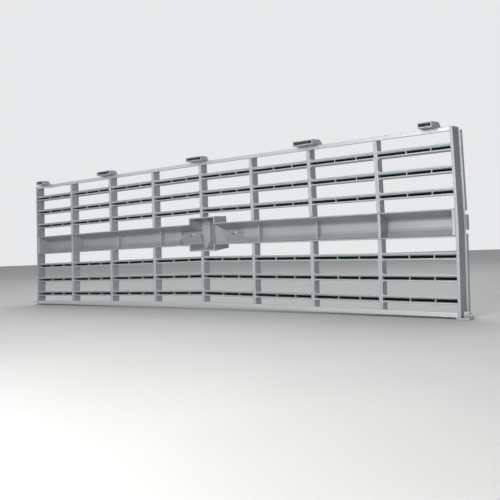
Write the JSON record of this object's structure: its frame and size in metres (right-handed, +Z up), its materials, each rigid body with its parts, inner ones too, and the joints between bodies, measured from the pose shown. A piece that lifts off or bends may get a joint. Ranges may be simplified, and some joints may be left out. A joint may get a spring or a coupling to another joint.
{
  "type": "grille insert",
  "caption": "Wide, shallow vee-shaped grille insert with horizontal louvres, upright bars, a trough-shaped centre bar with a blank emblem pocket, and clip-in mounting boxes.",
  "frame": {"origin": "middle of the bounding box's footprint, on the level soles of the two corner feet", "axes": "+X along the width, +Y towards the road side, +Z up"},
  "size_m": [1.315, 0.1034, 0.3793],
  "materials": {
    "rail": "satin",
    "wall": "satin",
    "louvre": "satin",
    "bar": "satin",
    "trough": "satin",
    "web": "satin",
    "pocket": "satin",
    "tab": "satin",
    "clip": "satin",
    "lug": "satin"
  },
  "bodies": {
    "root": {"bottom_rail": "rail", "centre_bar_left": "trough", "centre_bar_right": "trough", "divider_2": "web", "divider_3": "web", "divider_4": "web", "divider_5": "web", "divider_6": "web", "emblem_pocket": "pocket", "gusset_0": "web", "gusset_1": "web", "gusset_7": "web", "gusset_8": "web", "left_corner_lug": "lug", "left_end_wall": "wall", "left_side_clip": "clip", "lower_bar_1": "bar", "lower_bar_2": "bar", "lower_bar_3": "bar", "lower_bar_4": "bar", "lower_bar_5": "bar", "lower_bar_6": "bar", "lower_bar_7": "bar", "lower_louvre_1": "louvre", "lower_louvre_2": "louvre", "lower_louvre_3": "louvre", "right_corner_lug": "lug", "right_end_wall": "wall", "right_side_clip": "clip", "top_rail": "rail", "top_tab_1": "tab", "top_tab_2": "tab", "top_tab_3": "tab", "top_tab_4": "tab", "top_tab_5": "tab", "upper_bar_1": "bar", "upper_bar_2": "bar", "upper_bar_3": "bar", "upper_bar_4": "bar", "upper_bar_5": "bar", "upper_bar_6": "bar", "upper_bar_7": "bar", "upper_louvre_1": "louvre", "upper_louvre_2": "louvre", "upper_louvre_3": "louvre"}
  },
  "joints": []
}
